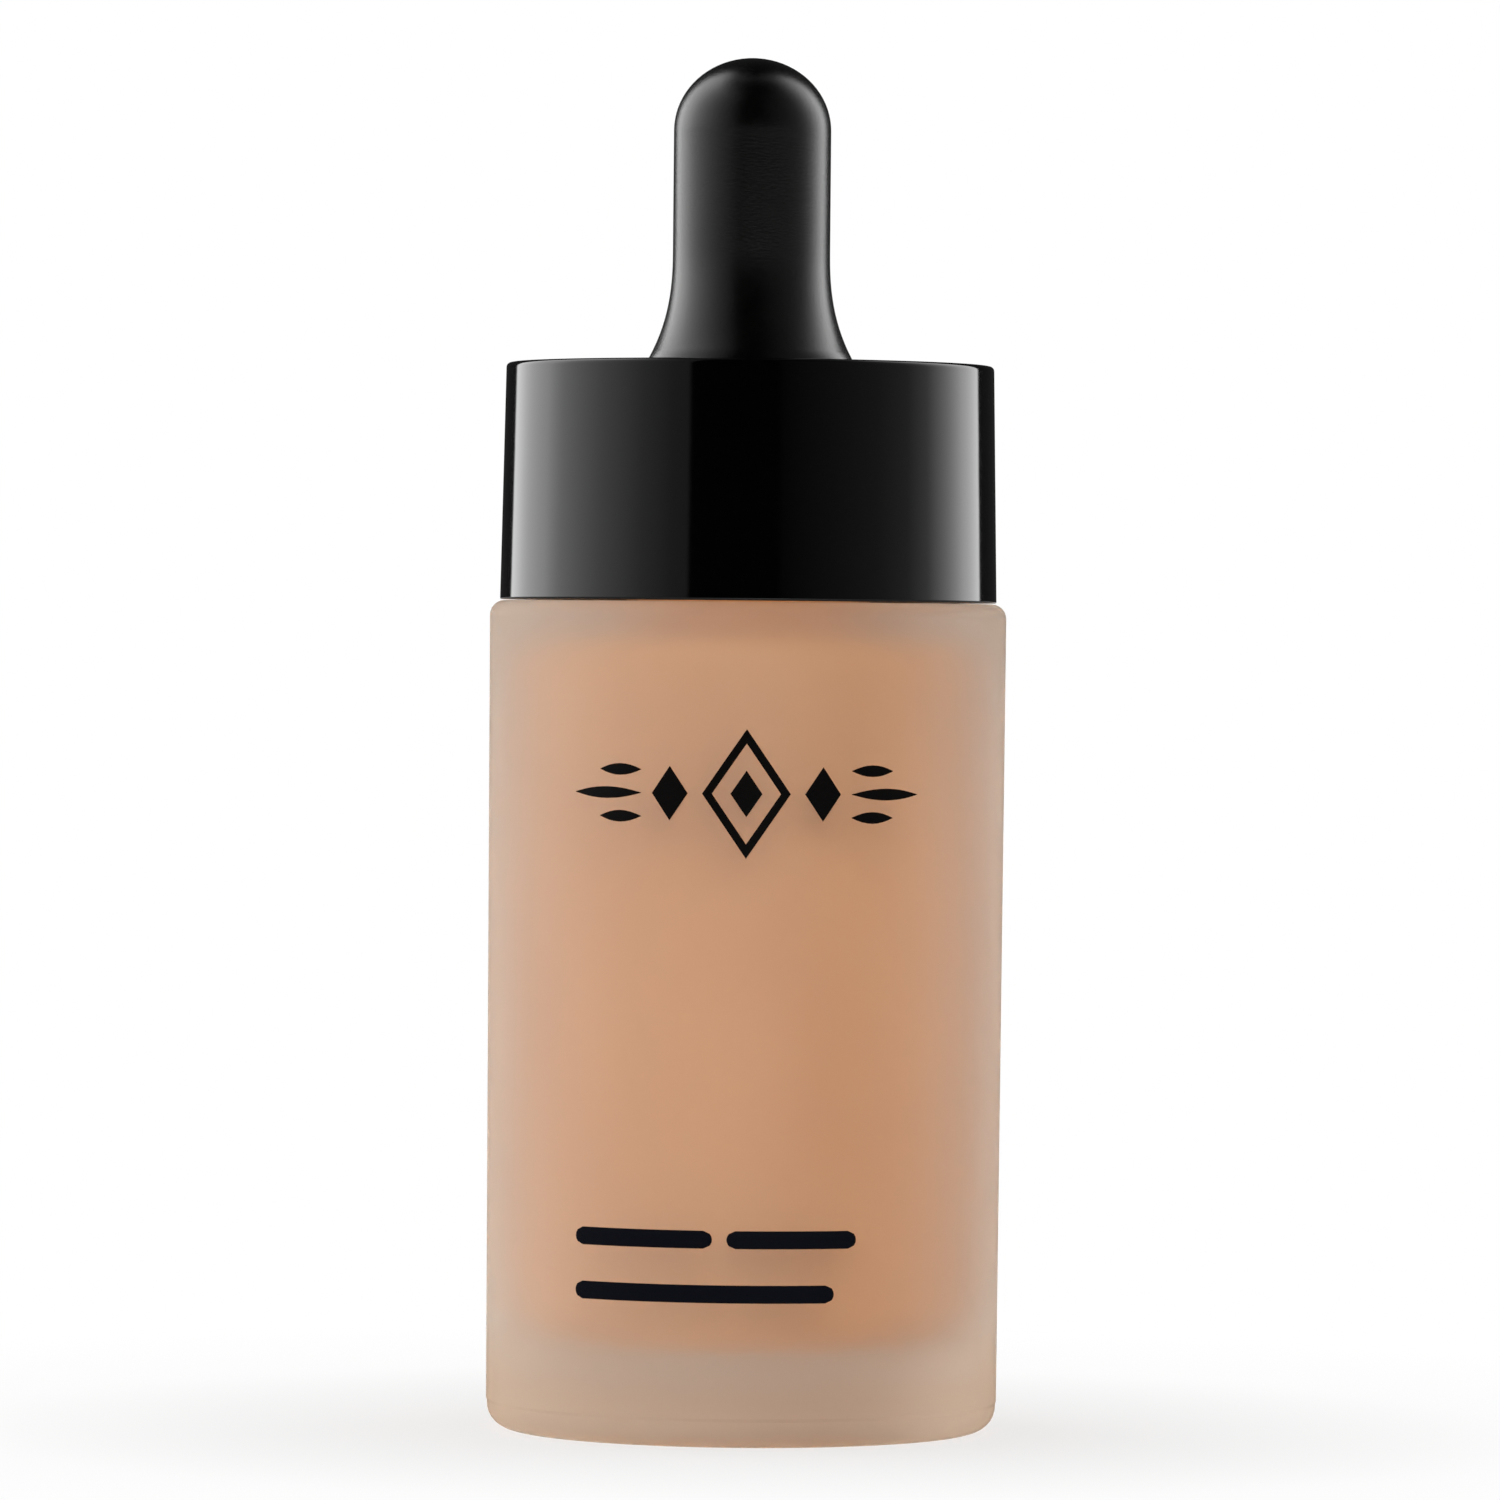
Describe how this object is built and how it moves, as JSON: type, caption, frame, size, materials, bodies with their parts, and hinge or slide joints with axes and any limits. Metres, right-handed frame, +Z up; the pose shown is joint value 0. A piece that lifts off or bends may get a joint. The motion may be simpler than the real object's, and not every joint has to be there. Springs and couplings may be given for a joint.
{
  "type": "foundation bottle",
  "caption": "Round frosted-glass foundation bottle with a screw cap, a rubber bulb and a glass dropper that lifts out through a neck wiper.",
  "frame": {"origin": "centre of the base, on the surface that the bottle stands on", "axes": "+Z up along the bottle's axis, -Y towards the printed front, +X to the right seen from the front"},
  "size_m": [0.0384, 0.0384, 0.102],
  "materials": {
    "frosted_glass": "acid-frosted outside, clear inside",
    "clear_glass": "clear drawn tube",
    "foundation": "opaque cream, soft sheen",
    "gloss_black": "high gloss, moulded",
    "black_polypropylene": "as moulded",
    "black_rubber": "matt with a fine grain",
    "white_polyethylene": "waxy, slightly translucent",
    "seal_foam": "fine closed-cell foam"
  },
  "bodies": {
    "bottle": {"glass_bottle": "frosted_glass", "neck_wiper": "white_polyethylene", "foundation_fill": "foundation"},
    "washer": {"sealing_washer": "seal_foam"},
    "dropper": {"rubber_bulb": "black_rubber", "glass_pipette": "clear_glass", "pipette_fill": "foundation"},
    "cap": {"inner_cap": "black_polypropylene", "outer_shell": "gloss_black"}
  },
  "joints": [
    {"name": "dropper_lift", "type": "slide", "parent": "bottle", "child": "washer", "axis": [0, 0, 1], "range_m": [0, 0.07]},
    {"name": "cap_climb", "type": "slide", "parent": "washer", "child": "dropper", "axis": [0, 0, 1], "range_m": [0, 0.00397]},
    {"name": "cap_turn", "type": "hinge", "parent": "dropper", "child": "cap", "pos_m": [0, 0, 0.0765], "axis": [0, 0, 1], "range_deg": [0, 450]}
  ],
  "couplings": [
    {"joint": "cap_climb", "follows": "cap_turn", "m_per_rad": 0.00050531}
  ]
}
